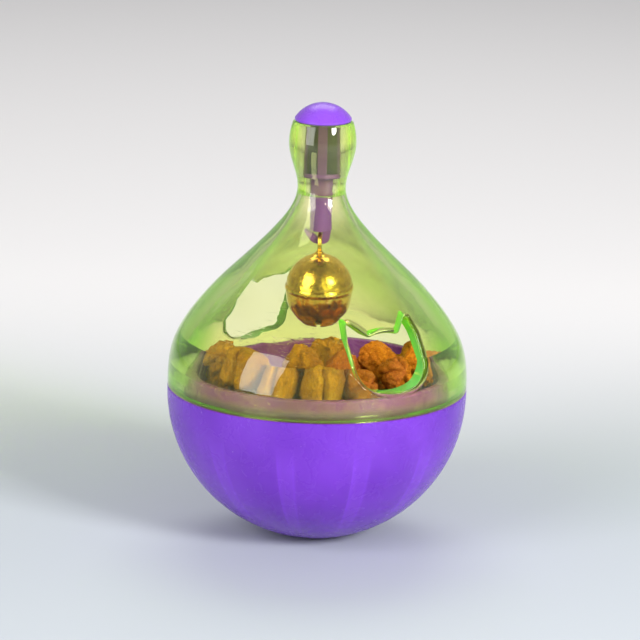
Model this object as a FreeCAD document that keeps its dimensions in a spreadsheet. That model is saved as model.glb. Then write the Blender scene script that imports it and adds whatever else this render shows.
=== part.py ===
import FreeCAD, Part
import Sketcher
import math
import os

# Treat ball: a wobbling feeder, a thick clear dome on a weighted round base.
# Millimetres, +Z up. Origin: centre of the small flat foot, on the floor.
# The front faces -Y. The two food holes look along azimuth hole_azimuth, right of front, and opposite.

os.makedirs("parts", exist_ok=True)
doc = FreeCAD.newDocument("treat_ball")

# ---------------------------------------------------------------- dimensions
DIMS = [
    # base shell
    ("base_radius", 40.0), ("base_centre_z", 39.4), ("base_wall", 2.0), ("rim_z", 40.5),
    ("foot_radius", 6.89), ("seat_z", 3.4), ("seat_radius", 12.15),
    ("ledge_z", 38.7), ("ledge_radius", 36.2), ("ledge_root_z", 34.9), ("ledge_root_radius", 37.73),
    ("rabbet_radius", 38.05), ("edge_break", 0.3),
    ("rib_thick", 1.6), ("rib_count", 12), ("post_ring", 21.5), ("post_radius", 3.2),
    ("post_top_z", 11.1), ("pilot_radius", 1.15), ("pilot_bottom_z", 7.4),
    # inner bowl
    ("bowl_floor_z", 22.0), ("bowl_floor_radius", 18.49), ("bowl_bend_z", 36.5),
    ("spigot_inner", 33.0), ("spigot_outer", 34.85), ("spigot_top_z", 45.4), ("bowl_wall", 1.8),
    ("flange_radius", 38.0), ("flange_bottom_z", 38.75),
    # weight and what clamps it
    ("weight_radius", 17.5), ("weight_foot_radius", 11.5), ("weight_bottom_z", 3.45),
    ("weight_step_z", 6.4), ("weight_top_z", 11.0),
    ("plate_radius", 25.0), ("plate_bottom_z", 11.15), ("plate_thick", 1.6), ("plate_hole_radius", 1.4),
    ("screw_radius", 1.1), ("screw_head_radius", 2.5), ("screw_head_height", 1.7), ("screw_length", 5.8),
    # dome
    ("dome_bottom_z", 40.55), ("dome_top_z", 112.4), ("neck_bore_radius", 4.85), ("neck_step_z", 98.0),
    ("stem_bore_radius", 3.05), ("roof_z", 92.9), ("roof_radius", 5.35), ("hole_azimuth", 32.0),
    ("hole_half_width", 10.3), ("hole_side_z", 54.6), ("hole_corner_radius", 6.5),
    ("hole_corner_x", 6.3), ("hole_corner_z", 48.55), ("hole_bottom_radius", 20.34),
    ("ear_root_z", 60.2), ("ear_tip_x", 9.0), ("ear_tip_z", 65.0), ("ear_valley_x", 4.5),
    ("ear_valley_z", 61.0), ("brow_radius", 13.88), ("hole_reach", 60.0), ("lip_radius", 1.0),
    # plug
    ("cap_radius", 7.5), ("cap_bottom_z", 112.45), ("cap_edge_z", 113.25), ("cap_top_z", 117.3),
    ("rib_core_radius", 1.6), ("rib_half_span", 4.7), ("rib_width", 2.1), ("rib_bottom_z", 99.2),
    ("disc_radius", 4.75), ("disc_bottom_z", 98.1), ("stem_radius", 2.9), ("stem_bottom_z", 82.0),
    ("hook_thick", 1.9),
    # bell
    ("bell_radius", 9.0), ("bell_z", 65.8), ("bell_wall", 0.5), ("seam_radius", 9.15),
    ("slot_width", 1.0), ("slot_half_length", 5.6), ("slot_end_radius", 1.15),
    ("loop_wire", 1.2), ("loop_radius", 2.42), ("loop_x", -0.15), ("loop_z", 78.3),
    ("pellet_radius", 2.25), ("pellet_z", 59.6),
    # kibble cutter sizes
    ("pillow_small_len", 9.4), ("pillow_small_wid", 9.0), ("pillow_small_hgt", 8.8), ("pillow_small_fil", 2.2),
    ("pillow_mid_len", 10.2), ("pillow_mid_wid", 9.6), ("pillow_mid_hgt", 9.4), ("pillow_mid_fil", 2.4),
    ("pillow_large_len", 11.0), ("pillow_large_wid", 10.2), ("pillow_large_hgt", 10.2), ("pillow_large_fil", 2.6),
    ("round_small_low", 4.7), ("round_small_up", 4.5), ("round_small_hgt", 9.4), ("round_small_fil", 2.2),
    ("round_mid_low", 5.2), ("round_mid_up", 5.0), ("round_mid_hgt", 10.2), ("round_mid_fil", 2.4),
    ("round_large_low", 5.6), ("round_large_up", 5.4), ("round_large_hgt", 10.8), ("round_large_fil", 2.6),
    ("round_cone_low", 5.6), ("round_cone_up", 4.0), ("round_cone_hgt", 12.0), ("round_cone_fil", 2.4),
]
# Dome sections: (height, radius) from the rim to the neck top, and the moulding core's own line.
OUTER = [(40.55, 40.0), (45.4, 39.9), (51.4, 38.9), (57.4, 36.05), (63.4, 31.7), (69.4, 26.35), (74.4, 21.2),
         (79.4, 16.1), (84.4, 11.5), (88.4, 8.5), (91.4, 7.0), (94.4, 6.4), (97.4, 6.72), (101.4, 7.93),
         (105.4, 8.86), (109.4, 8.7), (112.1, 8.05)]
INNER = [(53.9, 34.1), (56.0, 32.6), (58.0, 31.1), (60.0, 29.45), (62.0, 27.7), (64.0, 25.8), (66.0, 23.9),
         (68.4, 21.6), (73.0, 17.65), (77.7, 13.8), (81.7, 10.9), (85.5, 8.55), (88.5, 6.95), (91.0, 5.9),
         (92.9, 5.35)]
for i, (z, r) in enumerate(OUTER):
    DIMS += [("outer_hgt_%02d" % i, z), ("outer_rad_%02d" % i, r)]
for i, (z, r) in enumerate(INNER):
    DIMS += [("inner_hgt_%02d" % i, z), ("inner_rad_%02d" % i, r)]
DIMS += [("dome_mouth_radius", 35.2), ("dome_land_z", 46.0), ("dome_land_radius", 35.1),
         ("crease_z", 53.5), ("crease_radius", 34.35)]

sheet = doc.addObject("Spreadsheet::Sheet", "Sizes")
for row, (alias, value) in enumerate(DIMS, start=1):
    sheet.set("A%d" % row, alias)
    sheet.set("B%d" % row, str(value))
    sheet.setAlias("B%d" % row, alias)
doc.recompute()


def size(alias):
    """A dimension as the sheet holds it."""
    return float(sheet.get(alias))


# ---------------------------------------------------------------- sketch helpers
def num(alias, sign=1.0, plus=None, minus=None):
    """(value, expression) of a sheet size, with an optional second size added or taken off."""
    value = size(alias)
    text = "Sizes.%s" % alias
    if plus:
        value += size(plus)
        text += " + Sizes.%s" % plus
    if minus:
        value -= size(minus)
        text += " - Sizes.%s" % minus
    return (sign * value, text)


ZERO = (0.0, "")


def own(value):
    """A plain shape point that hangs on no other size."""
    return (value, "")


def pin(sketch, geo, pos, x, y):
    """Fix one end point of a sketch line to x and y, bound to the sheet where they have an expression."""
    for (value, text), kind, axis in ((x, "DistanceX", -2), (y, "DistanceY", -1)):
        if abs(value) < 1e-9:
            sketch.addConstraint(Sketcher.Constraint("PointOnObject", geo, pos, axis))
            continue
        if value > 0:
            index = sketch.addConstraint(Sketcher.Constraint(kind, -1, 1, geo, pos, value))
        else:
            index = sketch.addConstraint(Sketcher.Constraint(kind, geo, pos, -1, 1, -value))
        if text:
            sketch.setExpression("Constraints[%d]" % index, text)


def arc_of(p, q, radius, side):
    """The short arc from p to q with this radius, bulging to the left (+1) or right (-1) of p to q."""
    dx, dy = q[0] - p[0], q[1] - p[1]
    chord = math.hypot(dx, dy)
    mx, my = (p[0] + q[0]) / 2, (p[1] + q[1]) / 2
    sag = math.sqrt(max(radius * radius - chord * chord / 4, 0.0))
    nx, ny = -dy / chord, dx / chord
    cx, cy = mx - side * nx * sag, my - side * ny * sag
    a = math.atan2(p[1] - cy, p[0] - cx)
    b = math.atan2(q[1] - cy, q[0] - cx)
    circle = Part.Circle(FreeCAD.Vector(cx, cy, 0), FreeCAD.Vector(0, 0, 1), radius)
    if side > 0:
        return Part.ArcOfCircle(circle, b, a if a > b else a + 2 * math.pi), True
    return Part.ArcOfCircle(circle, a, b if b > a else b + 2 * math.pi), False


def outline(sketch, corners, bends=None):
    """A closed outline through the corners; bends = {side index: (radius, side)} makes that side an arc."""
    bends = bends or {}
    count = len(corners)
    ends = []
    for i in range(count):
        p = (corners[i][0][0], corners[i][1][0])
        j = (i + 1) % count
        q = (corners[j][0][0], corners[j][1][0])
        if i in bends:
            (radius, text), side = bends[i]
            geo, swapped = arc_of(p, q, radius, side)
            index = sketch.addGeometry(geo, False)
            cindex = sketch.addConstraint(Sketcher.Constraint("Radius", index, radius))
            if text:
                sketch.setExpression("Constraints[%d]" % cindex, text)
            ends.append((index, 2, 1) if swapped else (index, 1, 2))
        else:
            line = Part.LineSegment(FreeCAD.Vector(p[0], p[1], 0), FreeCAD.Vector(q[0], q[1], 0))
            index = sketch.addGeometry(line, False)
            ends.append((index, 1, 2))
    for i in range(count):
        a, b = ends[i], ends[(i + 1) % count]
        sketch.addConstraint(Sketcher.Constraint("Coincident", a[0], a[2], b[0], b[1]))
    for i in range(count):
        pin(sketch, ends[i][0], ends[i][1], corners[i][0], corners[i][1])


def plane_of(body, role):
    for feature in body.Origin.OriginFeatures:
        if feature.Role == role:
            return feature
    raise RuntimeError("no plane " + role)


def sketch_on(body, name, role="XZ_Plane"):
    sketch = body.newObject("Sketcher::SketchObject", name)
    sketch.AttachmentSupport = [(plane_of(body, role), "")]
    sketch.MapMode = "FlatFace"
    return sketch


def turned(body, name, corners, bends=None, cut=False):
    """A full turn of an outline in the XZ plane round the Z axis."""
    sketch = sketch_on(body, name + "_line")
    outline(sketch, corners, bends)
    kind = "PartDesign::Groove" if cut else "PartDesign::Revolution"
    feature = body.newObject(kind, name)
    feature.Profile = sketch
    feature.ReferenceAxis = (sketch, ["V_Axis"])
    feature.Angle = 360.0
    body.Tip = feature
    return feature


def pad_mid(body, name, corners, thick, role="XZ_Plane", bends=None):
    """A plate of this outline, thick across the middle of its plane."""
    sketch = sketch_on(body, name + "_line", role)
    outline(sketch, corners, bends)
    feature = body.newObject("PartDesign::Pad", name)
    feature.Profile = sketch
    feature.Midplane = True
    feature.setExpression("Length", "Sizes.%s" % thick)
    body.Tip = feature
    return feature


NODES = []


def node(obj, label):
    obj.Label = label
    NODES.append(obj)
    return obj


# ---------------------------------------------------------------- base shell
base = doc.addObject("PartDesign::Body", "BaseShell")
r_out, r_in, zc = size("base_radius"), size("base_radius") - size("base_wall"), size("base_centre_z")
turned(base, "BaseTurn", [
    (ZERO, ZERO),
    (num("foot_radius"), ZERO),
    (num("base_radius"), num("base_centre_z")),
    (num("base_radius"), num("rim_z", minus="edge_break")),
    (num("base_radius", minus="edge_break"), num("rim_z")),
    (num("rabbet_radius"), num("rim_z")),
    (num("rabbet_radius"), num("ledge_z")),
    (num("ledge_radius"), num("ledge_z")),
    (num("ledge_root_radius"), num("ledge_root_z")),
    (num("seat_radius"), num("seat_z")),
    (ZERO, num("seat_z")),
], {1: (num("base_radius"), -1), 8: (num("base_radius", minus="base_wall"), 1)})
rib = pad_mid(base, "BaseRib", [
    (own(26.2), own(10.6)), (own(26.2), own(20.5)), (own(29.0), own(22.5)), (own(34.0), own(25.5)),
    (own(36.9), own(27.6)), (own(35.2), own(23.0)), (own(31.2), own(16.4)),
], "rib_thick")
doc.recompute()
ring = base.newObject("PartDesign::PolarPattern", "BaseRibRing")
ring.Originals = [rib]
ring.Axis = (plane_of(base, "Z_Axis"), [""])
ring.Angle = 360.0
ring.setExpression("Occurrences", "Sizes.rib_count")
base.Tip = ring
doc.recompute()
# Three screw posts, half-way between ribs, each with a pilot hole.
post_sketch = sketch_on(base, "BasePost_line", "XY_Plane")
pilot_sketch = sketch_on(base, "BasePilot_line", "XY_Plane")
for sketch, alias in ((post_sketch, "post_radius"), (pilot_sketch, "pilot_radius")):
    for k in range(3):
        a = math.radians(45.0 + 120.0 * k)
        x, y = size("post_ring") * math.cos(a), size("post_ring") * math.sin(a)
        g = sketch.addGeometry(Part.Circle(FreeCAD.Vector(x, y, 0), FreeCAD.Vector(0, 0, 1), size(alias)), False)
        c = sketch.addConstraint(Sketcher.Constraint("Radius", g, size(alias)))
        sketch.setExpression("Constraints[%d]" % c, "Sizes.%s" % alias)
        for kind, value, trig in (("DistanceX", x, "cos"), ("DistanceY", y, "sin")):
            sign = 1 if value > 0 else -1
            ends = (-1, 1, g, 3) if value > 0 else (g, 3, -1, 1)
            c = sketch.addConstraint(Sketcher.Constraint(kind, *ends, abs(value)))
            sketch.setExpression("Constraints[%d]" % c,
                                 "%d * Sizes.post_ring * %s(%d deg)" % (sign, trig, 45 + 120 * k))
post = base.newObject("PartDesign::Pad", "BasePosts")
post.Profile = post_sketch
post.setExpression("Length", "Sizes.post_top_z")
base.Tip = post
doc.recompute()
pilot = base.newObject("PartDesign::Pocket", "BasePilots")
pilot.Profile = pilot_sketch
pilot_sketch.AttachmentOffset = FreeCAD.Placement(FreeCAD.Vector(0, 0, size("pilot_bottom_z")), FreeCAD.Rotation())
pilot_sketch.setExpression("AttachmentOffset.Base.z", "Sizes.pilot_bottom_z")
pilot.Reversed = True
pilot.Length = 6.0
base.Tip = pilot
doc.recompute()
# What the posts reach below the round skin is taken off again.
turned(base, "BaseSkin", [
    (own(14.0), own(-2.0)), (own(44.0), own(-2.0)), (own(44.0), num("base_centre_z")),
    (num("base_radius"), num("base_centre_z")), (own(14.0), own(39.4 - math.sqrt(1600.0 - 196.0))),
], {3: (num("base_radius"), 1)}, cut=True)
node(base, "base_shell")

# ---------------------------------------------------------------- inner bowl with its spigot
bowl = doc.addObject("PartDesign::Body", "InnerBowl")
wall = size("bowl_wall")
bend = size("bowl_bend_z") - size("bowl_floor_z")
turned(bowl, "BowlTurn", [
    (ZERO, num("bowl_floor_z", minus="bowl_wall")),
    (num("bowl_floor_radius"), num("bowl_floor_z", minus="bowl_wall")),
    (own(34.8), num("bowl_bend_z")),
    (own(34.8), num("flange_bottom_z")),
    (num("flange_radius"), num("flange_bottom_z")),
    (num("flange_radius"), num("rim_z")),
    (num("spigot_outer"), num("rim_z")),
    (num("spigot_outer"), num("spigot_top_z", minus="edge_break")),
    (num("spigot_outer", minus="edge_break"), num("spigot_top_z")),
    (num("spigot_inner", plus="edge_break"), num("spigot_top_z")),
    (num("spigot_inner"), num("spigot_top_z", minus="edge_break")),
    (num("spigot_inner"), num("bowl_bend_z")),
    (num("bowl_floor_radius"), num("bowl_floor_z")),
    (ZERO, num("bowl_floor_z")),
], {1: (own(bend + wall), -1), 11: (own(bend + 0.005), 1)})
node(bowl, "inner_bowl")

# ---------------------------------------------------------------- counterweight, its clamp plate and screws
weight = doc.addObject("PartDesign::Body", "Counterweight")
turned(weight, "WeightTurn", [
    (ZERO, num("weight_bottom_z")), (num("weight_foot_radius"), num("weight_bottom_z")),
    (num("weight_radius"), num("weight_step_z")), (num("weight_radius"), num("weight_top_z", minus="edge_break")),
    (num("weight_radius", minus="edge_break"), num("weight_top_z")), (ZERO, num("weight_top_z")),
])
node(weight, "counterweight")

plate = doc.addObject("PartDesign::Body", "ClampPlate")
plate_sketch = sketch_on(plate, "Plate_line", "XY_Plane")
g = plate_sketch.addGeometry(Part.Circle(FreeCAD.Vector(0, 0, 0), FreeCAD.Vector(0, 0, 1), size("plate_radius")), False)
c = plate_sketch.addConstraint(Sketcher.Constraint("Radius", g, size("plate_radius")))
plate_sketch.setExpression("Constraints[%d]" % c, "Sizes.plate_radius")
plate_sketch.addConstraint(Sketcher.Constraint("Coincident", g, 3, -1, 1))
for k in range(3):
    a = math.radians(45.0 + 120.0 * k)
    x, y = size("post_ring") * math.cos(a), size("post_ring") * math.sin(a)
    g = plate_sketch.addGeometry(Part.Circle(FreeCAD.Vector(x, y, 0), FreeCAD.Vector(0, 0, 1), size("plate_hole_radius")), False)
    c = plate_sketch.addConstraint(Sketcher.Constraint("Radius", g, size("plate_hole_radius")))
    plate_sketch.setExpression("Constraints[%d]" % c, "Sizes.plate_hole_radius")
    for kind, value, trig in (("DistanceX", x, "cos"), ("DistanceY", y, "sin")):
        sign = 1 if value > 0 else -1
        ends = (-1, 1, g, 3) if value > 0 else (g, 3, -1, 1)
        c = plate_sketch.addConstraint(Sketcher.Constraint(kind, *ends, abs(value)))
        plate_sketch.setExpression("Constraints[%d]" % c,
                                   "%d * Sizes.post_ring * %s(%d deg)" % (sign, trig, 45 + 120 * k))
plate_sketch.setExpression("AttachmentOffset.Base.z", "Sizes.plate_bottom_z")
plate_pad = plate.newObject("PartDesign::Pad", "PlatePad")
plate_pad.Profile = plate_sketch
plate_pad.setExpression("Length", "Sizes.plate_thick")
plate.Tip = plate_pad
node(plate, "clamp_plate")

screws = []
for k in range(3):
    shank = doc.addObject("Part::Cylinder", "ScrewShank%d" % k)
    shank.setExpression("Radius", "Sizes.screw_radius")
    shank.setExpression("Height", "Sizes.screw_length")
    head = doc.addObject("Part::Cylinder", "ScrewHead%d" % k)
    head.setExpression("Radius", "Sizes.screw_head_radius")
    head.setExpression("Height", "Sizes.screw_head_height")
    slot_a = doc.addObject("Part::Box", "ScrewSlotA%d" % k)
    slot_b = doc.addObject("Part::Box", "ScrewSlotB%d" % k)
    for box, dims in ((slot_a, (2.6, 0.6, 1.1)), (slot_b, (0.6, 2.6, 1.1))):
        box.Length, box.Width, box.Height = dims
    a = math.radians(45.0 + 120.0 * k)
    x, y = size("post_ring") * math.cos(a), size("post_ring") * math.sin(a)
    top = size("plate_bottom_z") + size("plate_thick") + 0.05
    shank.Placement = FreeCAD.Placement(FreeCAD.Vector(x, y, top + 0.5 - size("screw_length")), FreeCAD.Rotation())
    head.Placement = FreeCAD.Placement(FreeCAD.Vector(x, y, top), FreeCAD.Rotation())
    slot_a.Placement = FreeCAD.Placement(FreeCAD.Vector(x - 1.3, y - 0.3, top + 0.8), FreeCAD.Rotation())
    slot_b.Placement = FreeCAD.Placement(FreeCAD.Vector(x - 0.3, y - 1.3, top + 0.8), FreeCAD.Rotation())
    whole = doc.addObject("Part::MultiFuse", "ScrewBlank%d" % k)
    whole.Shapes = [shank, head]
    cross = doc.addObject("Part::MultiFuse", "ScrewCross%d" % k)
    cross.Shapes = [slot_a, slot_b]
    screw = doc.addObject("Part::Cut", "Screw%d" % k)
    screw.Base, screw.Tool = whole, cross
    screws.append(screw)
group = doc.addObject("Part::Compound", "PlateScrews")
group.Links = screws
node(group, "plate_screws")

# ---------------------------------------------------------------- dome
V = FreeCAD.Vector


def through(points):
    curve = Part.BSplineCurve()
    curve.interpolate([V(r, 0, z) for z, r in points])
    return curve.toShape()


outer = [(size("outer_hgt_%02d" % i), size("outer_rad_%02d" % i)) for i in range(len(OUTER))]
inner = [(size("inner_hgt_%02d" % i), size("inner_rad_%02d" % i)) for i in range(len(INNER))]
ring_up = [V(outer[-1][1], 0, outer[-1][0]), V(outer[-1][1] - 0.45, 0, size("dome_top_z")),
           V(size("neck_bore_radius") + 0.3, 0, size("dome_top_z")),
           V(size("neck_bore_radius"), 0, size("dome_top_z") - 0.3),
           V(size("neck_bore_radius"), 0, size("neck_step_z")),
           V(size("stem_bore_radius"), 0, size("neck_step_z")),
           V(size("stem_bore_radius"), 0, size("roof_z")),
           V(size("roof_radius"), 0, size("roof_z"))]
ring_down = [V(inner[0][1], 0, inner[0][0]), V(size("crease_radius"), 0, size("crease_z")),
             V(size("dome_land_radius"), 0, size("dome_land_z")),
             V(size("dome_mouth_radius"), 0, size("dome_bottom_z") + 0.4),
             V(size("dome_mouth_radius") + 0.4, 0, size("dome_bottom_z")),
             V(outer[0][1] - 0.25, 0, size("dome_bottom_z")), V(outer[0][1], 0, size("dome_bottom_z") + 0.25)]
outer_run = [(size("dome_bottom_z") + 0.25, outer[0][1])] + outer[1:]
edges = [through(outer_run)]
edges += [Part.LineSegment(p, q).toShape() for p, q in zip(ring_up[:-1], ring_up[1:])]
edges += [through(list(reversed(inner)))]
edges += [Part.LineSegment(p, q).toShape() for p, q in zip(ring_down[:-1], ring_down[1:])]
wire = Part.Wire(edges)
blank_shape = Part.Face(wire).revolve(V(0, 0, 0), V(0, 0, 1), 360)
if blank_shape.Volume < 0:
    blank_shape.reverse()
blank = doc.addObject("Part::Feature", "DomeBlank")
blank.Shape = blank_shape
blank.Placement = FreeCAD.Placement()

head_sketch = doc.addObject("Sketcher::SketchObject", "CatHead")
outline(head_sketch, [
    (num("hole_half_width"), num("ear_root_z")),
    (num("hole_half_width"), num("hole_side_z")),
    (num("hole_corner_x"), num("hole_corner_z")),
    (num("hole_corner_x", -1), num("hole_corner_z")),
    (num("hole_half_width", -1), num("hole_side_z")),
    (num("hole_half_width", -1), num("ear_root_z")),
    (num("ear_tip_x", -1), num("ear_tip_z")),
    (num("ear_valley_x", -1), num("ear_valley_z")),
    (num("ear_valley_x"), num("ear_valley_z")),
    (num("ear_tip_x"), num("ear_tip_z")),
], {1: (num("hole_corner_radius"), 1), 2: (num("hole_bottom_radius"), 1), 3: (num("hole_corner_radius"), 1),
    7: (num("brow_radius"), 1)})
doc.recompute()
# The outline stands upright, square to the line through both holes.
azimuth = size("hole_azimuth")
head_sketch.Placement = FreeCAD.Placement(V(0, 0, 0), FreeCAD.Rotation(V(0, 0, 1), azimuth).multiply(
    FreeCAD.Rotation(V(1, 0, 0), 90)))
prism = doc.addObject("Part::Extrusion", "CatHeadPrism")
prism.Base = head_sketch
prism.DirMode = "Custom"
prism.Dir = V(math.sin(math.radians(azimuth)), -math.cos(math.radians(azimuth)), 0)
prism.Solid = True
prism.Symmetric = True
prism.setExpression("LengthFwd", "2 * Sizes.hole_reach")
doc.recompute()
softened = doc.addObject("Part::Fillet", "CatHeadSoft")
softened.Base = prism
along = []
for index, edge in enumerate(prism.Shape.Edges, start=1):
    if edge.Curve.TypeId == "Part::GeomLine":
        p, q = edge.Vertexes[0].Point, edge.Vertexes[-1].Point
        if (q - p).Length > 50:
            z = p.z
            for alias, radius in (("ear_tip_z", 1.0), ("ear_valley_z", 1.6), ("ear_root_z", 3.0)):
                if abs(z - size(alias)) < 0.01:
                    along.append((index, radius, radius))
softened.Edges = along
holed = doc.addObject("Part::Cut", "DomeHoled")
holed.Base, holed.Tool = blank, softened
holed.Refine = False
doc.recompute()
# Rounded lips: the edges of both holes on the outer face.
side = V(math.cos(math.radians(azimuth)), math.sin(math.radians(azimuth)), 0)


def outer_radius(z):
    for (z0, r0), (z1, r1) in zip(outer, outer[1:]):
        if z0 <= z <= z1:
            return r0 + (r1 - r0) * (z - z0) / (z1 - z0)
    return outer[0][1]


lip = []
for index, edge in enumerate(holed.Shape.Edges, start=1):
    box = edge.BoundBox
    if box.ZMin < 46 or box.ZMax > 67:
        continue
    span = edge.LastParameter - edge.FirstParameter
    points = [edge.valueAt(edge.FirstParameter + span * k / 8) for k in range(9)]
    across = [p.dot(side) for p in points]
    reach = [math.hypot(p.x, p.y) for p in points]
    if max(abs(a) for a in across) > 11:
        continue
    if max(across) - min(across) < 0.05 and box.ZLength < 0.05 and max(reach) - min(reach) > 2:
        continue
    if outer_radius(points[4].z) - reach[4] < 1.5:
        lip.append((index, size("lip_radius"), size("lip_radius")))
dome = doc.addObject("Part::Fillet", "DomeShell")
dome.Base = holed
dome.Edges = lip
node(dome, "dome_shell")

# ---------------------------------------------------------------- plug with its hook, one moulding
plug = doc.addObject("PartDesign::Body", "HangerPlug")
cap_height = size("cap_top_z") - size("cap_edge_z")
cap_round = (size("cap_radius") ** 2 + cap_height ** 2) / (2 * cap_height)
turned(plug, "PlugTurn", [
    (ZERO, num("cap_top_z")), (num("cap_radius"), num("cap_edge_z")), (num("cap_radius"), num("cap_bottom_z", plus="edge_break")),
    (num("cap_radius", minus="edge_break"), num("cap_bottom_z")),
    (num("rib_core_radius"), num("cap_bottom_z")), (num("rib_core_radius"), num("rib_bottom_z")),
    (num("disc_radius"), num("rib_bottom_z")), (num("disc_radius"), num("disc_bottom_z")),
    (num("stem_radius"), num("disc_bottom_z")), (num("stem_radius"), num("stem_bottom_z", plus="edge_break")),
    (num("stem_radius", minus="edge_break"), num("stem_bottom_z")), (ZERO, num("stem_bottom_z")),
], {0: (own(cap_round), 1)})
rib_box = [(num("rib_half_span", -1), num("rib_bottom_z", minus="edge_break")),
           (num("rib_half_span"), num("rib_bottom_z", minus="edge_break")),
           (num("rib_half_span"), num("cap_bottom_z", plus="edge_break")),
           (num("rib_half_span", -1), num("cap_bottom_z", plus="edge_break"))]
pad_mid(plug, "PlugRibX", rib_box, "rib_width")
pad_mid(plug, "PlugRibY", rib_box, "rib_width", role="YZ_Plane")
# J hook: shank on the right, upturned tip on the left, a narrow snap gap under the stem.
hook = pad_mid(plug, "PlugHook", [
    (own(2.7), own(82.6)), (own(2.65), own(80.2)), (own(2.35), own(79.1)), (own(1.75), own(78.35)),
    (own(0.95), own(77.97)), (own(-0.6), own(77.95)), (own(-1.65), own(78.15)), (own(-2.55), own(78.8)),
    (own(-3.5), own(80.1)), (own(-4.45), own(82.05)), (own(-4.2), own(82.15)), (own(-2.6), own(81.45)),
    (own(-1.45), own(80.5)), (own(-0.85), own(79.95)), (own(-0.35), own(79.88)), (own(0.3), own(79.88)), (own(0.55), own(80.15)),
    (own(0.55), own(82.6)),
], "hook_thick")
doc.recompute()
long_edges = []
for index, edge in enumerate(hook.Shape.Edges, start=1):
    box = edge.BoundBox
    if box.ZMax < 81.6 and box.ZMin > 77.0 and box.YLength < 0.01 and abs(abs(box.YMax) - size("hook_thick") / 2) < 0.02:
        long_edges.append("Edge%d" % index)
soft = plug.newObject("PartDesign::Fillet", "PlugHookSoft")
soft.Base = (hook, long_edges)
soft.Radius = 0.45
plug.Tip = soft
node(plug, "hanger_plug")

# ---------------------------------------------------------------- bell
bell_z, bell_r, bell_w = size("bell_z"), size("bell_radius"), size("bell_wall")
upper = doc.addObject("PartDesign::Body", "BellUpper")
turned(upper, "BellUpperTurn", [
    (ZERO, num("bell_z", plus="bell_radius")), (num("bell_radius"), own(bell_z + 0.6)),
    (num("bell_radius"), own(bell_z + 0.02)), (num("bell_radius", minus="bell_wall"), own(bell_z + 0.02)),
    (ZERO, own(bell_z + bell_r - bell_w)),
], {0: (own((bell_r ** 2 + (bell_r - 0.6) ** 2) / (2 * (bell_r - 0.6))), 1),
    3: (own(((bell_r - bell_w) ** 2 + (bell_r - bell_w - 0.02) ** 2) / (2 * (bell_r - bell_w - 0.02))), -1)})
node(upper, "bell_upper_shell")

lower = doc.addObject("PartDesign::Body", "BellLower")
turned(lower, "BellLowerTurn", [
    (ZERO, own(bell_z - bell_r)), (ZERO, own(bell_z - bell_r + bell_w)),
    (own(bell_r - bell_w), own(bell_z)),
    (own(bell_r + 0.03), own(bell_z)), (own(bell_r + 0.03), own(bell_z + 0.8)),
    (num("seam_radius"), own(bell_z + 0.7)), (own(bell_r + 0.3), own(bell_z + 0.25)),
    (own(bell_r + 0.3), own(bell_z - 0.25)), (num("seam_radius"), own(bell_z - 0.7)),
    (own(bell_r - 0.05), own(bell_z - 0.95)),
], {1: (own(bell_r - bell_w), -1),
    9: (own(bell_r), 1)})
# Crossed sound slots in the underside, each ending in a round hole.
for name, role in (("SlotX", "X"), ("SlotY", "Y")):
    sketch = sketch_on(lower, "Bell" + name + "_line", "XY_Plane")
    w, half = size("slot_width") / 2, size("slot_half_length")
    rect = [(-half, -w), (half, -w), (half, w), (-half, w)] if role == "X" else [(-w, -half), (w, -half), (w, half), (-w, half)]
    outline(sketch, [(own(a), own(b)) for a, b in rect])
    sketch.AttachmentOffset = FreeCAD.Placement(V(0, 0, bell_z - bell_r - 1), FreeCAD.Rotation())
    cut = lower.newObject("PartDesign::Pocket", "Bell" + name)
    cut.Profile = sketch
    cut.Reversed = True
    cut.Length = 4.6
    lower.Tip = cut
    doc.recompute()
ends = sketch_on(lower, "BellSlotEnds_line", "XY_Plane")
for x, y in ((half, 0), (-half, 0), (0, half), (0, -half)):
    g = ends.addGeometry(Part.Circle(V(x, y, 0), V(0, 0, 1), size("slot_end_radius")), False)
    c = ends.addConstraint(Sketcher.Constraint("Radius", g, size("slot_end_radius")))
    ends.setExpression("Constraints[%d]" % c, "Sizes.slot_end_radius")
ends.AttachmentOffset = FreeCAD.Placement(V(0, 0, bell_z - bell_r - 1), FreeCAD.Rotation())
cut = lower.newObject("PartDesign::Pocket", "BellSlotEnds")
cut.Profile = ends
cut.Reversed = True
cut.Length = 5.0
lower.Tip = cut
node(lower, "bell_lower_shell")

# Wire eye on a flared collar that is soldered to the crown.
eye = doc.addObject("Part::Torus", "BellEye")
eye.setExpression("Radius1", "Sizes.loop_radius")
eye.setExpression("Radius2", "Sizes.loop_wire / 2")
eye.Placement = FreeCAD.Placement(V(size("loop_x"), 0, size("loop_z")), FreeCAD.Rotation(V(0, 1, 0), 90))
collar_body = doc.addObject("PartDesign::Body", "BellCollar")
turned(collar_body, "BellCollarTurn", [
    (ZERO, own(76.25)), (own(0.62), own(76.25)), (own(0.95), own(75.5)), (own(1.55), own(74.95)), (own(2.35), own(74.6)),
    (own(2.35), own(74.3)), (ZERO, own(74.3)),
])
collar_body.Placement = FreeCAD.Placement(V(size("loop_x"), 0, 0), FreeCAD.Rotation())
crown = doc.addObject("Part::Sphere", "BellCrown")
crown.Radius = bell_r + 0.06
crown.Placement = FreeCAD.Placement(V(0, 0, bell_z), FreeCAD.Rotation())
both = doc.addObject("Part::MultiFuse", "BellEyeBlank")
both.Shapes = [eye, collar_body]
shank = doc.addObject("Part::Cut", "BellShank")
shank.Base, shank.Tool = both, crown
node(shank, "bell_eye")

pellet = doc.addObject("Part::Sphere", "BellPellet")
pellet.setExpression("Radius", "Sizes.pellet_radius")
pellet.Placement = FreeCAD.Placement(V(0, 0, size("pellet_z")), FreeCAD.Rotation())
node(pellet, "bell_pellet")

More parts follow.
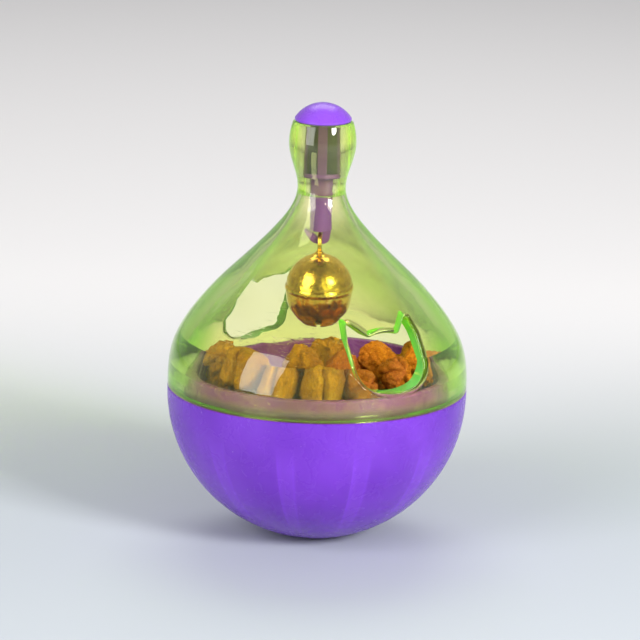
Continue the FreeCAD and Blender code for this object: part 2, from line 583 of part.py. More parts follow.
# ---------------------------------------------------------------- kibble resting in the bowl
# Seven die shapes; each piece: shape, centre, and how it is turned (quaternion x, y, z, w).
SHAPES = {"ps": "pillow_small", "pm": "pillow_mid", "pl": "pillow_large", "rs": "round_small",
          "rm": "round_mid", "rl": "round_large", "ct": "round_cone"}
KIBBLE = [
    ("pm", (-14.81, 0.61, 26.82), (0.4174, 0.9087, -0.0002, 0.0001)),
    ("pl", (2.15, 14.99, 27.22), (-0.1702, -0.6860, -0.6870, -0.1686)),
    ("rm", (3.15, -18.78, 27.46), (0.2004, -0.7286, -0.4119, 0.5093)),
    ("rl", (-7.84, 8.69, 27.59), (0.5559, 0.4562, 0.0207, 0.6946)),
    ("rl", (3.53, 2.00, 27.61), (-0.5915, -0.4103, 0.6778, 0.1495)),
    ("rl", (12.80, 11.23, 27.68), (-0.7049, -0.0751, -0.3741, 0.5980)),
    ("pl", (15.48, -1.39, 27.69), (-0.3574, 0.6106, 0.3412, 0.6189)),
    ("pl", (-8.06, -18.06, 27.77), (-0.4812, 0.5273, -0.6045, 0.3535)),
    ("pl", (11.47, -11.16, 27.80), (0.1769, 0.6545, -0.1884, 0.7105)),
    ("rl", (-17.50, -10.81, 28.11), (0.1176, -0.6595, -0.4332, 0.6029)),
    ("pl", (-4.87, -6.24, 28.79), (0.4278, -0.2245, -0.8379, -0.2538)),
    ("rl", (-20.94, 10.63, 29.58), (0.4634, -0.7410, 0.1555, -0.4604)),
    ("pl", (-6.51, 22.28, 29.82), (-0.6158, -0.0172, 0.6894, 0.3811)),
    ("pl", (22.96, 7.48, 31.28), (0.9145, -0.2689, 0.1117, 0.2811)),
    ("pm", (-25.47, -2.27, 31.83), (-0.3995, 0.4747, -0.2917, 0.7280)),
    ("rm", (12.82, -22.30, 32.50), (0.1018, -0.8021, -0.1160, 0.5769)),
    ("pl", (22.91, -11.57, 33.14), (-0.6215, -0.1518, 0.4493, -0.6235)),
    ("rl", (4.36, 25.40, 33.37), (-0.9362, -0.0213, -0.0068, 0.3507)),
    ("rl", (15.41, 21.89, 35.08), (-0.1739, -0.0801, -0.2645, 0.9452)),
    ("pl", (-17.14, 19.19, 35.11), (0.7942, -0.2884, 0.4937, -0.2055)),
    ("pl", (-1.85, -26.27, 35.44), (0.4504, -0.2382, -0.7379, 0.4426)),
    ("rl", (-19.22, -19.19, 35.50), (-0.5409, -0.2521, 0.3424, 0.7257)),
    ("pl", (1.53, -10.95, 37.09), (0.4948, 0.3405, -0.7966, 0.0688)),
    ("rl", (-14.08, 4.38, 37.51), (-0.1422, -0.0081, -0.0576, 0.9881)),
    ("rl", (-5.44, 12.56, 38.06), (-0.6458, -0.4920, -0.5824, 0.0404)),
    ("rm", (10.44, -4.06, 38.49), (0.0126, 0.0036, -0.9936, -0.1119)),
    ("pl", (8.68, 14.38, 38.55), (-0.5887, -0.1274, 0.6577, -0.4523)),
    ("rl", (3.20, 3.81, 39.04), (-0.0632, -0.7141, 0.4928, -0.4933)),
    ("pl", (22.46, 14.65, 39.59), (-0.4776, -0.7097, -0.1296, 0.5014)),
    ("pl", (22.37, -1.30, 39.66), (-0.0875, 0.9139, 0.3333, 0.2144)),
    ("pm", (-17.17, -7.31, 39.73), (0.6687, -0.1401, -0.4627, -0.5649)),
    ("rl", (-5.79, -2.79, 40.48), (0.1599, -0.7158, -0.3150, -0.6024)),
    ("rs", (-27.30, 5.35, 40.75), (0.0400, -0.1414, -0.1615, 0.9759)),
    ("rl", (-8.28, -15.15, 40.93), (0.5412, -0.7979, -0.2066, 0.1670)),
    ("pm", (13.87, -13.65, 41.28), (0.6457, -0.0704, 0.4036, 0.6444)),
    ("rs", (-20.70, 12.11, 43.16), (0.8459, 0.0781, 0.2543, 0.4623)),
    ("rs", (-9.89, -25.37, 46.15), (0.8912, 0.3367, -0.2856, 0.1045)),
    ("rs", (11.44, -25.71, 46.24), (0.0747, 0.1014, -0.0070, 0.9920)),
    ("rs", (26.35, 6.99, 46.33), (0.3372, -0.3136, -0.2087, 0.8628)),
    ("rm", (1.53, -26.92, 47.01), (0.0600, 0.1471, -0.1721, 0.9722)),
    ("ps", (5.95, -11.75, 48.08), (0.4973, 0.0806, 0.4840, 0.7155)),
    ("ps", (27.18, -7.79, 48.19), (0.3999, 0.5272, -0.2761, -0.6971)),
    ("ct", (16.54, -4.38, 48.20), (0.7977, -0.1491, 0.4937, 0.3125)),
    ("pl", (-24.02, -9.76, 48.21), (-0.5006, 0.2923, 0.3386, 0.7412)),
    ("rs", (20.87, -17.87, 48.50), (0.0511, -0.3402, -0.0180, 0.9388)),
    ("ps", (3.05, -0.53, 49.24), (0.2723, 0.6881, 0.6298, 0.2361)),
    ("pm", (-18.32, -20.02, 49.49), (0.6918, -0.2273, 0.5813, 0.3632)),
    ("ps", (-3.61, -15.82, 50.29), (0.2775, 0.0739, 0.8142, 0.5046)),
]
for number, (code, centre, turn) in enumerate(KIBBLE, start=1):
    family = SHAPES[code]
    rotation = FreeCAD.Rotation(*turn)
    if family.startswith("pillow"):
        solid = doc.addObject("Part::Box", "KibbleBlock%02d" % number)
        solid.setExpression("Length", "Sizes.%s_len" % family)
        solid.setExpression("Width", "Sizes.%s_wid" % family)
        solid.setExpression("Height", "Sizes.%s_hgt" % family)
        middle = V(size(family + "_len") / 2, size(family + "_wid") / 2, size(family + "_hgt") / 2)
        edge_ids = list(range(1, 13))
    else:
        solid = doc.addObject("Part::Cone", "KibbleBlock%02d" % number)
        solid.setExpression("Radius1", "Sizes.%s_low" % family)
        solid.setExpression("Radius2", "Sizes.%s_up" % family)
        solid.setExpression("Height", "Sizes.%s_hgt" % family)
        middle = V(0, 0, size(family + "_hgt") / 2)
        edge_ids = None
    solid.Placement = FreeCAD.Placement(V(*centre) - rotation.multVec(middle), rotation)
    doc.recompute([solid])
    if edge_ids is None:
        edge_ids = [i for i, edge in enumerate(solid.Shape.Edges, start=1)
                    if edge.Curve.TypeId == "Part::GeomCircle"]
    rounded = doc.addObject("Part::Fillet", "Kibble%02d" % number)
    rounded.Base = solid
    fillet = size(family + "_fil")
    rounded.Edges = [(i, fillet, fillet) for i in edge_ids]
    node(rounded, "kibble_%02d" % number)

# ---------------------------------------------------------------- check and write
doc.recompute()
for obj in doc.Objects:
    if "Invalid" in obj.State or "Error" in obj.State:
        raise RuntimeError("failed: " + obj.Name + " " + str(obj.State))
for obj in NODES:
    shape = obj.Shape
    if shape.isNull() or not shape.isValid() or shape.Volume <= 0:
        raise RuntimeError("bad shape: " + obj.Label)
for obj in NODES:
    obj.Shape.exportStep("parts/%s.step" % obj.Label)
    print(obj.Label, "solids", len(obj.Shape.Solids), "volume", round(obj.Shape.Volume, 1))
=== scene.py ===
import math
import bpy
import bmesh
from mathutils import Matrix, Vector, noise


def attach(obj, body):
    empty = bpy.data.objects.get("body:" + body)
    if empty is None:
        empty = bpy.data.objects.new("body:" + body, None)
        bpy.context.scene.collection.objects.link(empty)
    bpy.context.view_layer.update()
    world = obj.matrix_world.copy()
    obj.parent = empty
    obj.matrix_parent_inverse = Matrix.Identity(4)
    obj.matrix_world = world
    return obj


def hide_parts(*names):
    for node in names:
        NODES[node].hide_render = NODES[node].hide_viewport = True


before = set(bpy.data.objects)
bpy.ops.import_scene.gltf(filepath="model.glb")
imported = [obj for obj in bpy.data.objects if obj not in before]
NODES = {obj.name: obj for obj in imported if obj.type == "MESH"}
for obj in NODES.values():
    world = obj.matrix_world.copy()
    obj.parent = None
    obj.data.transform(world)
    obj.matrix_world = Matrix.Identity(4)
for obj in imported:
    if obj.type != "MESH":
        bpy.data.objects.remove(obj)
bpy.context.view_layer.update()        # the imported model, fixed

MM = 0.001
KIBBLE = sorted(n for n in NODES if n.startswith("kibble_"))
HOLE_TURN = 32.0      # azimuth of the line through both food holes, degrees right of front


# ------------------------------------------------------------------ node helpers
def material(name):
    mat = bpy.data.materials.new(name)
    mat.use_nodes = True
    nt = mat.node_tree
    nt.nodes.clear()
    out = nt.nodes.new("ShaderNodeOutputMaterial")
    bsdf = nt.nodes.new("ShaderNodeBsdfPrincipled")
    nt.links.new(bsdf.outputs["BSDF"], out.inputs["Surface"])
    return mat, nt, bsdf, out


def add(nt, kind, **values):
    n = nt.nodes.new(kind)
    for key, value in values.items():
        if hasattr(n, key):
            setattr(n, key, value)
        else:
            n.inputs[key.replace("_", " ")].default_value = value
    return n


def coords(nt):
    """Object coordinates in millimetres."""
    tc = nt.nodes.new("ShaderNodeTexCoord")
    m = nt.nodes.new("ShaderNodeVectorMath")
    m.operation = "SCALE"
    m.inputs["Scale"].default_value = 1000.0
    nt.links.new(tc.outputs["Object"], m.inputs[0])
    return m.outputs["Vector"]


def noise_tex(nt, vec, scale, detail=4.0, rough=0.55, distort=0.0, dims=None):
    n = nt.nodes.new("ShaderNodeTexNoise")
    n.inputs["Scale"].default_value = scale
    n.inputs["Detail"].default_value = detail
    n.inputs["Roughness"].default_value = rough
    n.inputs["Distortion"].default_value = distort
    if dims:
        m = nt.nodes.new("ShaderNodeVectorMath")
        m.operation = "MULTIPLY"
        m.inputs[1].default_value = dims
        nt.links.new(vec, m.inputs[0])
        vec = m.outputs["Vector"]
    nt.links.new(vec, n.inputs["Vector"])
    return n.outputs["Fac"]


def ramp(nt, fac, stops, mode="LINEAR"):
    r = nt.nodes.new("ShaderNodeValToRGB")
    r.color_ramp.interpolation = mode
    while len(r.color_ramp.elements) < len(stops):
        r.color_ramp.elements.new(0.5)
    for e, (pos, col) in zip(r.color_ramp.elements, stops):
        e.position = pos
        e.color = (col, col, col, 1) if isinstance(col, (int, float)) else (*col, 1)
    nt.links.new(fac, r.inputs["Fac"])
    return r.outputs["Color"]


def mix(nt, fac, a, b, mode="MIX"):
    m = nt.nodes.new("ShaderNodeMix")
    m.data_type = "RGBA"
    m.blend_type = mode
    for slot, value in (("Factor", fac), ("A", a), ("B", b)):
        socket = m.inputs[0] if slot == "Factor" else m.inputs[6 if slot == "A" else 7]
        if isinstance(value, (int, float)):
            socket.default_value = value
        elif isinstance(value, tuple):
            socket.default_value = (*value, 1)
        else:
            nt.links.new(value, socket)
    return m.outputs[2]


def maths(nt, op, a, b=None, c=None):
    m = nt.nodes.new("ShaderNodeMath")
    m.operation = op
    for i, value in enumerate((a, b, c)):
        if value is None:
            continue
        if isinstance(value, (int, float)):
            m.inputs[i].default_value = value
        else:
            nt.links.new(value, m.inputs[i])
    return m.outputs[0]


def bump(nt, bsdf, layers):
    """layers = [(height socket, distance in metres)]; strengths stay at 1."""
    last = None
    for height, distance in layers:
        b = nt.nodes.new("ShaderNodeBump")
        b.inputs["Strength"].default_value = 1.0
        b.inputs["Distance"].default_value = distance
        nt.links.new(height, b.inputs["Height"])
        if last is not None:
            nt.links.new(last, b.inputs["Normal"])
        last = b.outputs["Normal"]
    nt.links.new(last, bsdf.inputs["Normal"])


def split(nt, vec):
    s = nt.nodes.new("ShaderNodeSeparateXYZ")
    nt.links.new(vec, s.inputs[0])
    return s.outputs[0], s.outputs[1], s.outputs[2]


# ------------------------------------------------------------------ materials
def dome_material():
    """Clear tinted plastic: the colour lies at its faces and in the depth of the wall."""
    mat, nt, p, out = material("clear_green_plastic")
    v = coords(nt)
    x, y, z = split(nt, v)
    tc = nt.nodes.new("ShaderNodeTexCoord")
    nx, ny, nz = split(nt, tc.outputs["Normal"])
    # The cut edges of the two food holes glow with the light that runs inside the wall.
    s, c = math.sin(math.radians(HOLE_TURN)), math.cos(math.radians(HOLE_TURN))
    facing = maths(nt, "ABSOLUTE", maths(nt, "ADD", maths(nt, "MULTIPLY", nx, s), maths(nt, "MULTIPLY", ny, -c)))
    across = maths(nt, "ABSOLUTE", maths(nt, "ADD", maths(nt, "MULTIPLY", x, c), maths(nt, "MULTIPLY", y, s)))
    near = maths(nt, "MULTIPLY", maths(nt, "LESS_THAN", across, 12.6),
                 maths(nt, "MULTIPLY", maths(nt, "GREATER_THAN", z, 45.5), maths(nt, "LESS_THAN", z, 67.5)))
    front = maths(nt, "SUBTRACT", maths(nt, "MULTIPLY", x, s), maths(nt, "MULTIPLY", y, c))
    near = maths(nt, "MULTIPLY", near, ramp(nt, maths(nt, "MULTIPLY_ADD", front, 0.02, 0.5), [(0.45, 0.22), (0.55, 1.0)]))
    cut = maths(nt, "MULTIPLY", ramp(nt, facing, [(0.08, 1.0), (0.30, 0.0)]), near)
    cloud = noise_tex(nt, v, 0.12, 3, 0.5)
    clear = mix(nt, ramp(nt, cloud, [(0.3, 0.0), (0.7, 1.0)]), (0.983, 0.972, 0.745), (0.995, 0.985, 0.79))
    # The rim below the spigot's top is a little cloudy, and its colour is darkened as painted shade from the base's
    # rabbet wall behind it.
    rim = ramp(nt, maths(nt, "DIVIDE", z, 100.0), [(0.415, 1.0), (0.437, 0.0)])
    clear = mix(nt, rim, clear, (0.42, 0.515, 0.25))
    lw = nt.nodes.new("ShaderNodeLayerWeight")
    lw.inputs["Blend"].default_value = 0.5
    clear = mix(nt, ramp(nt, lw.outputs["Facing"], [(0.37, 0.0), (0.55, 0.55), (0.70, 1.0)]), clear, (0.27, 0.60, 0.045))
    # The thick lower wall shows a fuller green at the sides.
    flank = ramp(nt, maths(nt, "DIVIDE", z, 100.0), [(0.435, 0.0), (0.455, 1.0), (0.56, 0.9), (0.68, 0.0)])
    full = maths(nt, "MULTIPLY", flank, ramp(nt, lw.outputs["Facing"], [(0.36, 0.0), (0.50, 0.75), (0.62, 1.0)]))
    clear = mix(nt, full, clear, (0.30, 0.66, 0.05))
    # The thick neck, and most of all its waist, gathers more of the tint.
    high = maths(nt, "DIVIDE", z, 120.0)
    neck = maths(nt, "MULTIPLY", ramp(nt, high, [(0.775, 0.0), (0.785, 1.0), (0.803, 0.55), (0.92, 0.6)]),
                 ramp(nt, lw.outputs["Facing"], [(0.16, 0.0), (0.34, 1.0)]))
    clear = mix(nt, neck, clear, (0.50, 0.84, 0.08))
    # Its lowest edge sits in the shade of the base's rabbet.
    lowest = ramp(nt, maths(nt, "DIVIDE", z, 100.0), [(0.418, 1.0), (0.425, 0.0)])
    clear = mix(nt, lowest, clear, (0.34, 0.40, 0.15))
    nt.links.new(mix(nt, cut, clear, (0.17, 0.60, 0.14)), p.inputs["Base Color"])
    bloom = ramp(nt, lw.outputs["Facing"], [(0.34, 0.005), (0.54, 0.10), (0.72, 0.42), (0.95, 0.66)])
    bloom = maths(nt, "MULTIPLY", bloom, maths(nt, "SUBTRACT", 1.0, maths(nt, "MULTIPLY", flank, 0.25)))
    haze = maths(nt, "MAXIMUM", bloom, maths(nt, "MULTIPLY", cut, 0.55))
    haze = maths(nt, "MAXIMUM", haze, maths(nt, "MULTIPLY", rim, 0.12))
    haze = maths(nt, "MULTIPLY", haze, maths(nt, "SUBTRACT", 1.0, maths(nt, "MULTIPLY", lowest, 0.7)))
    nt.links.new(maths(nt, "SUBTRACT", 1.0, haze), p.inputs["Transmission Weight"])
    p.inputs["IOR"].default_value = 1.49
    smear = noise_tex(nt, v, 0.22, 5, 0.6, 0.6)
    nt.links.new(ramp(nt, smear, [(0.35, 0.006), (0.62, 0.015), (0.8, 0.04)]), p.inputs["Roughness"])
    wave = noise_tex(nt, v, 0.055, 1.0, 0.4)
    scratch = ramp(nt, noise_tex(nt, v, 0.9, 3, 0.5, 1.2, dims=(0.25, 0.25, 2.6)), [(0.66, 0.0), (0.70, 1.0), (0.74, 0.0)])
    bump(nt, p, [(wave, 0.00035), (scratch, 0.000004)])
    path = nt.nodes.new("ShaderNodeLightPath")
    through = nt.nodes.new("ShaderNodeBsdfTransparent")
    through.inputs["Color"].default_value = (0.84, 0.93, 0.45, 1)
    both = nt.nodes.new("ShaderNodeMixShader")
    nt.links.new(path.outputs["Is Shadow Ray"], both.inputs[0])
    nt.links.new(p.outputs["BSDF"], both.inputs[1])
    nt.links.new(through.outputs["BSDF"], both.inputs[2])
    nt.links.new(both.outputs["Shader"], out.inputs["Surface"])
    depth = nt.nodes.new("ShaderNodeVolumeAbsorption")
    depth.inputs["Color"].default_value = (0.90, 0.985, 0.25, 1)
    depth.inputs["Density"].default_value = 110.0
    nt.links.new(depth.outputs["Volume"], out.inputs["Volume"])
    return mat


def purple_material(name, deep, light, bands=False, plug=False, dusty=False):
    """Glossy moulded plastic, faintly see-through, with handling marks."""
    mat, nt, p, out = material(name)
    v = coords(nt)
    x, y, z = split(nt, v)
    cloud = noise_tex(nt, v, 0.06, 3, 0.5)
    colour = mix(nt, ramp(nt, cloud, [(0.30, 0.0), (0.72, 1.0)]), deep, light)
    if bands:
        # Soft paler stripes, twelve round the shell and brightest at their edges, fade out towards its bottom and
        # top.
        angle = maths(nt, "ARCTAN2", y, x)
        turn = maths(nt, "MULTIPLY_ADD", angle, 12.0 / (2 * math.pi), 0.5 + 11.6 / 30.0)
        part = maths(nt, "FRACT", turn)
        stripe = ramp(nt, part, [(0.375, 0.0), (0.395, 1.0), (0.46, 0.45), (0.58, 0.55), (0.60, 0.95), (0.64, 0.0)])
        low = ramp(nt, maths(nt, "DIVIDE", z, 40.0), [(0.05, 0.0), (0.30, 1.0), (0.66, 0.9), (0.86, 0.0)], "EASE")
        colour = mix(nt, maths(nt, "MULTIPLY", maths(nt, "MULTIPLY", stripe, low), 0.36), colour, tuple(min(1.0, c * 1.55 + 0.02) for c in light))
    if plug:
        # Painted shade: the plug below the dome's top is painted darker, for the light the dome keeps off it.
        inside = ramp(nt, maths(nt, "DIVIDE", z, 120.0), [(0.934, 1.0), (0.938, 0.0)])
        colour = mix(nt, inside, colour, mix(nt, 1.0, colour, (0.42, 0.36, 0.52), "MULTIPLY"))
        # Painted shade: the recesses beside the hanger's crossed ribs, inside the dome, are painted near black.
        reach = maths(nt, "MAXIMUM", maths(nt, "ABSOLUTE", x), maths(nt, "ABSOLUTE", y))
        slot_shade = ramp(nt, maths(nt, "DIVIDE", reach, 5.0), [(0.18, 0.0), (0.22, 1.0), (0.70, 1.0), (0.84, 0.25)])
        ribs = maths(nt, "MULTIPLY", maths(nt, "GREATER_THAN", z, 99.25), maths(nt, "LESS_THAN", z, 112.3))
        colour = mix(nt, maths(nt, "MULTIPLY", slot_shade, ribs), colour, (0.018, 0.020, 0.028))
    if dusty:
        # Food dust on the wall of the bowl.
        grime = noise_tex(nt, v, 0.30, 5, 0.65)
        colour = mix(nt, ramp(nt, grime, [(0.38, 0.03), (0.70, 0.30)]), colour, (0.20, 0.105, 0.055))
        spots = noise_tex(nt, v, 1.9, 2, 0.5)
        colour = mix(nt, ramp(nt, spots, [(0.70, 0.0), (0.74, 0.8)]), colour, (0.62, 0.50, 0.42))
    dust = nt.nodes.new("ShaderNodeTexVoronoi")
    dust.inputs["Scale"].default_value = 0.33
    nt.links.new(v, dust.inputs["Vector"])
    pick = noise_tex(nt, v, 0.21, 2, 0.5)
    speck = maths(nt, "MULTIPLY", ramp(nt, dust.outputs["Distance"], [(0.035, 1.0), (0.075, 0.0)]), ramp(nt, pick, [(0.56, 0.0), (0.62, 1.0)]))
    colour = mix(nt, maths(nt, "MULTIPLY", speck, 0.55), colour, (0.72, 0.62, 0.86))
    nt.links.new(colour, p.inputs["Base Color"])
    smear = noise_tex(nt, v, 0.16, 5, 0.62, 0.8)
    polish = ramp(nt, smear, [(0.3, 0.20), (0.55, 0.28), (0.8, 0.42)])
    if plug:
        polish = mix(nt, inside, polish, (0.50, 0.50, 0.50))
    nt.links.new(polish, p.inputs["Roughness"])
    p.inputs["IOR"].default_value = 1.5
    p.inputs["Specular IOR Level"].default_value = 0.38
    p.inputs["Subsurface Weight"].default_value = 0.10
    p.inputs["Subsurface Radius"].default_value = (0.6, 0.35, 1.0)
    p.inputs["Subsurface Scale"].default_value = 0.0015
    fine = noise_tex(nt, v, 6.0, 2, 0.5)
    orange = noise_tex(nt, v, 0.35, 2, 0.5)
    line = ramp(nt, noise_tex(nt, v, 1.6, 3, 0.55, 1.5, dims=(0.35, 0.35, 1.7)), [(0.64, 0.0), (0.68, 1.0), (0.72, 0.0)])
    bump(nt, p, [(orange, 0.00004), (fine, 0.000004), (line, 0.0000025)])
    return mat


def gold_material(name, colour, rough):
    """Thin bright brass-coloured plating with small dents and stains."""
    mat, nt, p, out = material(name)
    v = coords(nt)
    stain = noise_tex(nt, v, 0.45, 5, 0.6, 0.5)
    dark = tuple(c * 0.75 for c in colour)
    nt.links.new(mix(nt, ramp(nt, stain, [(0.34, 0.0), (0.56, 1.0)]), dark, colour), p.inputs["Base Color"])
    p.inputs["Metallic"].default_value = 1.0
    nt.links.new(ramp(nt, noise_tex(nt, v, 0.9, 4, 0.6), [(0.3, rough * 0.7), (0.7, rough * 1.8)]), p.inputs["Roughness"])
    p.inputs["Coat Weight"].default_value = 1.0
    p.inputs["Coat Roughness"].default_value = 0.2
    p.inputs["Coat IOR"].default_value = 1.5
    dents = noise_tex(nt, v, 0.28, 2, 0.5)
    grain = noise_tex(nt, v, 3.2, 3, 0.6)
    bump(nt, p, [(dents, 0.00030), (grain, 0.000003)])
    return mat


def metal_material(name, colour, rough, metallic=1.0):
    mat, nt, p, out = material(name)
    v = coords(nt)
    cast = noise_tex(nt, v, 1.4, 5, 0.62)
    nt.links.new(mix(nt, ramp(nt, cast, [(0.3, 0.0), (0.7, 1.0)]), tuple(c * 0.7 for c in colour), colour), p.inputs["Base Color"])
    p.inputs["Metallic"].default_value = metallic
    nt.links.new(ramp(nt, cast, [(0.3, rough * 0.8), (0.7, min(1.0, rough * 1.4))]), p.inputs["Roughness"])
    bump(nt, p, [(cast, 0.00004)])
    return mat


def kibble_material(name, shift):
    """Baked dry food: crumbly, with a dull oily skin, paler crumbs and dark pits."""
    mat, nt, p, out = material(name)
    v = coords(nt)
    patch = noise_tex(nt, v, 0.24, 4, 0.62, 0.4)
    crumb = noise_tex(nt, v, 1.3, 5, 0.68, 0.3)
    base = ramp(nt, patch, [(0.28, tuple(c * s for c, s in zip((0.185, 0.040, 0.004), shift))),
                            (0.50, tuple(c * s for c, s in zip((0.31, 0.076, 0.007), shift))),
                            (0.74, tuple(c * s for c, s in zip((0.42, 0.130, 0.015), shift)))])
    flour = mix(nt, ramp(nt, crumb, [(0.54, 0.0), (0.70, 0.55)]), base, (0.50, 0.175, 0.022))
    grit = noise_tex(nt, v, 2.3, 3, 0.6)
    flour = mix(nt, ramp(nt, grit, [(0.57, 0.0), (0.67, 0.60)]), flour, (0.58, 0.25, 0.045))
    flour = mix(nt, ramp(nt, grit, [(0.34, 0.65), (0.44, 0.0)]), flour, (0.14, 0.040, 0.005))
    pits = mix(nt, ramp(nt, crumb, [(0.30, 0.85), (0.42, 0.0)]), flour, (0.085, 0.022, 0.004))
    nt.links.new(pits, p.inputs["Base Color"])
    nt.links.new(ramp(nt, crumb, [(0.3, 0.45), (0.7, 0.78)]), p.inputs["Roughness"])
    p.inputs["Specular IOR Level"].default_value = 0.10
    fine = noise_tex(nt, v, 3.6, 5, 0.7)
    bump(nt, p, [(crumb, 0.00045), (fine, 0.00014)])
    return mat


def floor_material():
    mat, nt, p, out = material("pale_floor")
    v = coords(nt)
    x, y, z = split(nt, v)
    soft = noise_tex(nt, v, 0.004, 2, 0.5)
    close = mix(nt, soft, (0.43, 0.47, 0.50), (0.47, 0.50, 0.53))
    behind = ramp(nt, maths(nt, "DIVIDE", y, 1000.0), [(0.02, 0.0), (0.30, 1.0)], "EASE")
    nt.links.new(mix(nt, behind, close, (0.86, 0.84, 0.83)), p.inputs["Base Color"])
    p.inputs["Roughness"].default_value = 0.6
    return mat


def paint(node, mat):
    ob = NODES[node]
    for i in range(len(ob.material_slots)):
        ob.material_slots[i].link = "DATA"
        ob.data.materials[i] = mat
    if not ob.material_slots:
        ob.data.materials.append(mat)


PURPLE_DEEP, PURPLE_LIGHT = (0.116, 0.020, 0.385), (0.158, 0.033, 0.490)
purple_shell = purple_material("purple_plastic_shell", PURPLE_DEEP, PURPLE_LIGHT, bands=True)
purple_plain = purple_material("purple_plastic", PURPLE_DEEP, PURPLE_LIGHT, dusty=True)
purple_cap = purple_material("purple_plastic_cap", (0.190, 0.052, 0.51), (0.230, 0.070, 0.60), plug=True)
gold = gold_material("gold_plating", (0.98, 0.58, 0.11), 0.16)
paint("base_shell", purple_shell)
paint("inner_bowl", purple_plain)
paint("hanger_plug", purple_cap)
paint("dome_shell", dome_material())
for name in ("bell_upper_shell", "bell_lower_shell", "bell_eye"):
    paint(name, gold)
paint("bell_pellet", metal_material("steel_ball", (0.55, 0.55, 0.56), 0.22))
paint("counterweight", metal_material("cast_weight", (0.30, 0.30, 0.31), 0.5))
paint("clamp_plate", metal_material("black_plastic", (0.04, 0.04, 0.045), 0.5, 0.0))
paint("plate_screws", metal_material("zinc_plate", (0.66, 0.66, 0.68), 0.3))

# ------------------------------------------------------------------ food pieces
KIB_MATS = [kibble_material("baked_food_a", (1.0, 1.0, 1.0)), kibble_material("baked_food_b", (0.84, 1.24, 1.0)),
            kibble_material("baked_food_c", (0.94, 1.44, 1.2))]


def crumbly(node, index):
    """A rough baked piece over the plain block that stands for it."""
    src = NODES[node]
    ob = bpy.data.objects.new("food_%02d" % (index + 1), src.data.copy())
    bpy.context.collection.objects.link(ob)
    mod = ob.modifiers.new("even", "REMESH")
    mod.mode = "VOXEL"
    mod.voxel_size = 0.40 * MM
    dg = bpy.context.evaluated_depsgraph_get()
    mesh = bpy.data.meshes.new_from_object(ob.evaluated_get(dg))
    ob.modifiers.clear()
    old = ob.data
    ob.data = mesh
    bpy.data.meshes.remove(old)
    centre = sum((v.co for v in mesh.vertices), Vector()) / len(mesh.vertices)
    seed = Vector((37.1 * index + 11.0, 17.7 * index, 5.3 * index))
    normals = [v.normal.copy() for v in mesh.vertices]
    spots = [v.co.copy() for v in mesh.vertices]
    # A pressed piece has four lobes round one axis, with shallow grooves between them.
    lean = Vector((noise.noise(seed), noise.noise(seed * 1.7), 1.2 if index % 3 else 0.25)).normalized()
    side = lean.orthogonal().normalized()
    other = lean.cross(side)
    spin = index * 0.73
    # The knobbly pieces lie by the front hole, ends to the hole.
    knobbly = (centre - Vector((0.018, -0.027, 0.049))).length < 0.0165
    if knobbly:
        lean = Vector((0.50, -0.80, 0.33 + 0.5 * noise.noise(seed))).normalized()
        side = lean.orthogonal().normalized()
        other = lean.cross(side)
    front = centre.y < -0.017 and not knobbly
    if front:
        # The pieces against the front wall stand upright, a groove to the wall.
        lean, side, other, spin = Vector((0, 0, 1)), Vector((1, 0, 0)), Vector((0, 1, 0)), -math.atan2(centre.x, -centre.y)
    for v, n, c in zip(mesh.vertices, normals, spots):
        q = (c - centre) * 1000.0
        big = noise.noise(q * 0.21 + seed)
        mid = noise.fractal(q * 0.62 + seed * 1.3, 1.0, 2.0, 3)
        tiny = noise.fractal(q * 1.7 + seed * 2.1, 1.0, 2.0, 2)
        pit = noise.noise(q * 1.05 + seed * 3.3)
        cell = noise.voronoi(q * 0.52 + seed * 0.7)[0][0]
        turn = math.atan2(q.dot(other), q.dot(side)) + spin
        groove = (0.5 + 0.5 * math.cos(4.0 * turn)) ** 3 * (1.0 - n.dot(lean) ** 2)
        d = 0.50 * big + 0.42 * mid + 0.16 * tiny - 0.05 - 0.80 * cell - 1.25 * groove
        if front:
            off = abs((math.degrees(turn) + 90.0 + 180.0) % 360.0 - 180.0)
            groove = max(0.0, 1.0 - off / 17.0) ** 1.3
            d = 0.24 * big + 0.22 * mid + 0.14 * tiny + 0.08 - 0.22 * cell - 2.2 * groove
        elif knobbly:
            reach = (q - lean * q.dot(lean)).length
            groove = (0.5 + 0.5 * math.cos(4.0 * turn)) ** 3 * min(1.0, reach / 2.4)
            d = 0.34 * big + 0.34 * mid + 0.15 * tiny + 0.02 - 0.40 * cell - 1.7 * groove
        elif pit > 0.28:
            d -= min(0.45, (pit - 0.28) * 1.6)
        v.co = c + n * (min(0.22, max(-2.3, d)) * MM)
    mesh.materials.clear()
    mesh.materials.append(KIB_MATS[0 if (centre - Vector((0.017, -0.017, 0.050))).length < 0.0145 else 1 + index % 2])
    for f in mesh.polygons:
        f.use_smooth = True
    mesh.update()
    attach(ob, "base")
    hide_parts(node)
    return ob


for i, name in enumerate(KIBBLE):
    crumbly(name, i)

# ------------------------------------------------------------------ floor, lights, camera
mesh = bpy.data.meshes.new("floor")
bm = bmesh.new()
bmesh.ops.create_grid(bm, x_segments=2, y_segments=2, size=3.0)
bm.to_mesh(mesh)
bm.free()
floor = bpy.data.objects.new("floor", mesh)
bpy.context.collection.objects.link(floor)
floor.location = (0, 0, -0.00005)
mesh.materials.append(floor_material())

world = bpy.data.worlds.new("studio")
bpy.context.scene.world = world
world.use_nodes = True
sky = world.node_tree.nodes["Background"]
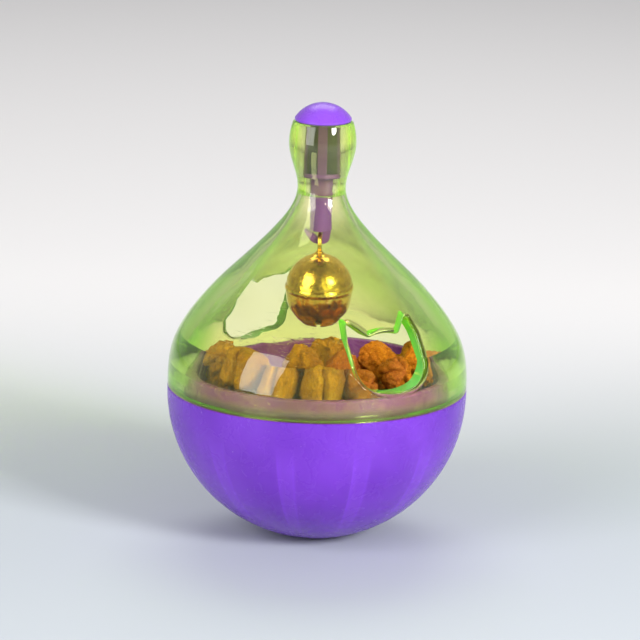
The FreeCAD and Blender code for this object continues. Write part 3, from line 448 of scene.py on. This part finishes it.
# A pale wall behind the object and a darker room in front of it.
where = world.node_tree.nodes.new("ShaderNodeTexCoord")
wx, wy, wz = split(world.node_tree, where.outputs["Generated"])
wall = ramp(world.node_tree, maths(world.node_tree, "MULTIPLY_ADD", wy, 0.5, 0.5),
            [(0.25, (0.10, 0.10, 0.105)), (0.55, (0.31, 0.315, 0.33)), (0.85, (0.53, 0.535, 0.55))], "EASE")
world.node_tree.links.new(wall, sky.inputs["Color"])
sky.inputs["Strength"].default_value = 1.0


def softbox(name, azimuth, elevation, distance, width, height, power, tint=(1, 1, 1), aim=(0, 0, 0.055), roll=0.0, seen=True):
    """Azimuth is measured from the front (-Y), positive to the right."""
    a, e = math.radians(azimuth), math.radians(elevation)
    where = Vector(aim) + distance * Vector((math.sin(a) * math.cos(e), -math.cos(a) * math.cos(e), math.sin(e)))
    data = bpy.data.lights.new(name, "AREA")
    data.shape = "RECTANGLE"
    data.size, data.size_y, data.energy, data.color = width, height, power, tint
    ob = bpy.data.objects.new(name, data)
    bpy.context.collection.objects.link(ob)
    ob.visible_glossy = ob.visible_transmission = seen
    turn = (Vector(aim) - where).to_track_quat("-Z", "Y").to_matrix() @ Matrix.Rotation(math.radians(roll), 3, "Z")
    ob.matrix_world = Matrix.Translation(where) @ turn.to_4x4()
    return ob


softbox("left_window", -45, 20, 0.80, 0.42, 0.66, 5.7)
softbox("right_lamp", 42, 23, 0.90, 0.26, 0.26, 10.5)
softbox("top_lamp", 180, 52, 1.00, 0.7, 0.5, 3.5)
softbox("front_fill", 14, 30, 1.20, 1.0, 0.8, 2.6, seen=False)

cam = bpy.data.cameras.new("camera")
eye = bpy.data.objects.new("camera", cam)
bpy.context.collection.objects.link(eye)
bpy.context.scene.camera = eye
cam.sensor_width = 36.0
cam.lens = 36.0 * 4127.6 / 640.0
cam.clip_start, cam.clip_end = 0.02, 20.0
aim = Vector((0.41, 0.0, 58.35)) * MM
tilt = math.radians(13.98)
spot = aim + 1.1 * Vector((0, -math.cos(tilt), math.sin(tilt)))
turn = (aim - spot).to_track_quat("-Z", "Y").to_matrix() @ Matrix.Rotation(math.radians(1.39), 3, "Z")
eye.matrix_world = Matrix.Translation(spot) @ turn.to_4x4()
bpy.context.scene.view_settings.view_transform = "Standard"
